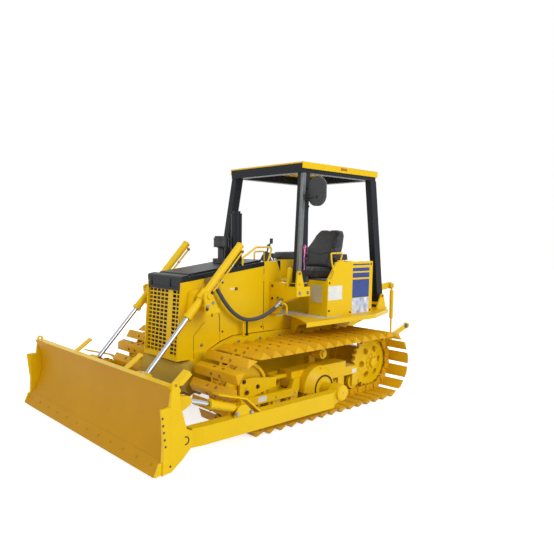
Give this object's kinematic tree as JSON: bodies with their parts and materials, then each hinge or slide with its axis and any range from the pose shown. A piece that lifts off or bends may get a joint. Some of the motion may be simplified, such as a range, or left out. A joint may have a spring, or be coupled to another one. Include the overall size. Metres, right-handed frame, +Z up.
{
  "type": "bulldozer",
  "caption": "Small wide-track bulldozer with a straight blade on push arms, open canopy and rear three-point hitch.",
  "frame": {"origin": "middle of the machine's box, on the ground", "axes": "+X forward, +Y to the machine's left, +Z up"},
  "size_m": [4.204, 2.448, 2.418],
  "materials": {
    "yellow_paint": "worn gloss paint",
    "track_paint": "scuffed paint over rolled steel",
    "black_paint": "satin paint",
    "grey_paint": "tread plate, worn",
    "worn_steel": "worn bright by soil",
    "cast_steel": "dirty and oily",
    "rod_chrome": "ground and plated",
    "hose_rubber": "sleeved hose",
    "seat_vinyl": "padded vinyl",
    "black_plastic": "moulded"
  },
  "bodies": {
    "chassis": {"left_track": "track_paint", "right_track": "track_paint", "sprockets": "track_paint", "idlers": "track_paint", "idler_yokes": "yellow_paint", "final_drives": "yellow_paint", "track_frames": "yellow_paint", "trunnions": "yellow_paint", "track_rollers": "track_paint", "main_frame": "yellow_paint", "engine_block": "cast_steel", "radiator_guard": "yellow_paint", "front_grille": "yellow_paint", "hood_cap": "black_paint", "hood_top": "black_paint", "engine_side_covers": "yellow_paint", "side_rails": "yellow_paint", "cowl": "yellow_paint", "dashboard": "black_paint", "cowl_wings": "yellow_paint", "belly_guard": "yellow_paint", "exhaust_stack": "black_paint", "air_precleaner": "black_plastic", "handrails": "yellow_paint", "floor_plate": "grey_paint", "fenders": "yellow_paint", "side_boxes": "yellow_paint", "seat_pedestal": "yellow_paint", "seat_pan": "black_paint", "rear_tank": "yellow_paint", "seat_cushion": "seat_vinyl", "seat_back": "seat_vinyl", "armrests": "seat_vinyl", "controls": "black_plastic", "canopy_posts": "black_paint", "canopy_beams": "black_paint", "canopy_roof": "yellow_paint", "canopy_mounts": "yellow_paint", "rear_view_mirror": "black_plastic", "cylinder_brackets": "yellow_paint", "hose_glands": "worn_steel", "left_hose": "hose_rubber", "right_hose": "hose_rubber", "hitch_frame": "yellow_paint"},
    "push_frame": {"push_arms": "yellow_paint", "tilt_brackets": "yellow_paint"},
    "blade": {"moldboard": "yellow_paint", "cutting_edge": "yellow_paint", "end_plates": "yellow_paint", "blade_ears": "yellow_paint", "blade_ribs": "yellow_paint"},
    "lift_barrel_pair": {"lift_barrels": "yellow_paint"},
    "lift_rod_pair": {"lift_rods": "rod_chrome"},
    "tilt_barrel_pair": {"tilt_barrels": "yellow_paint"},
    "tilt_rod_pair": {"tilt_rods": "rod_chrome"},
    "rocker": {"hitch_rocker": "yellow_paint"},
    "lift_link_pair": {"hitch_rods": "yellow_paint"},
    "lower_link_pair": {"lower_links": "yellow_paint"}
  },
  "joints": [
    {"name": "blade_lift", "type": "hinge", "parent": "chassis", "child": "push_frame", "pos_m": [0.088, 0, 0.27], "axis": [0, -1, 0], "range_deg": [-7, 18]},
    {"name": "blade_pitch", "type": "hinge", "parent": "push_frame", "child": "blade", "pos_m": [1.847, 0, 0.242], "axis": [0, -1, 0], "range_deg": [-8, 8]},
    {"name": "lift_cylinder_swing", "type": "hinge", "parent": "chassis", "child": "lift_barrel_pair", "pos_m": [1.125, 0, 1.17], "axis": [0, -1, 0], "range_deg": [-9.8, 25]},
    {"name": "lift_rod_slide", "type": "slide", "parent": "lift_barrel_pair", "child": "lift_rod_pair", "axis": [0.681, 0, -0.7323], "range_m": [-0.4218, 0.1641]},
    {"name": "tilt_cylinder_swing", "type": "hinge", "parent": "push_frame", "child": "tilt_barrel_pair", "pos_m": [1.262, 0, 0.336], "axis": [0, -1, 0], "range_deg": [-1, 1]},
    {"name": "tilt_rod_slide", "type": "slide", "parent": "tilt_barrel_pair", "child": "tilt_rod_pair", "axis": [0.9493, 0, 0.3145], "range_m": [-0.039, 0.039]},
    {"name": "hitch_lift", "type": "hinge", "parent": "chassis", "child": "rocker", "pos_m": [-1.33, 0, 1.105], "axis": [0, 1, 0], "range_deg": [-27, 8]},
    {"name": "lower_link_swing", "type": "hinge", "parent": "chassis", "child": "lower_link_pair", "pos_m": [-1.24, 0, 0.33], "axis": [0, 1, 0], "range_deg": [-20, 6]},
    {"name": "hitch_rod_swing", "type": "hinge", "parent": "rocker", "child": "lift_link_pair", "pos_m": [-1.68, 0, 1.128], "axis": [0, 1, 0], "range_deg": [-9.4, 31.5]}
  ],
  "couplings": [
    {"joint": "lift_cylinder_swing", "follows": "blade_lift", "ratio": 1.3843},
    {"joint": "lift_rod_slide", "follows": "blade_lift", "m_per_rad": -1.3424},
    {"joint": "tilt_cylinder_swing", "follows": "blade_pitch", "ratio": 0.0199},
    {"joint": "tilt_rod_slide", "follows": "blade_pitch", "m_per_rad": -0.2727},
    {"joint": "lower_link_swing", "follows": "hitch_lift", "ratio": 0.7319},
    {"joint": "hitch_rod_swing", "follows": "hitch_lift", "ratio": -1.1584}
  ]
}
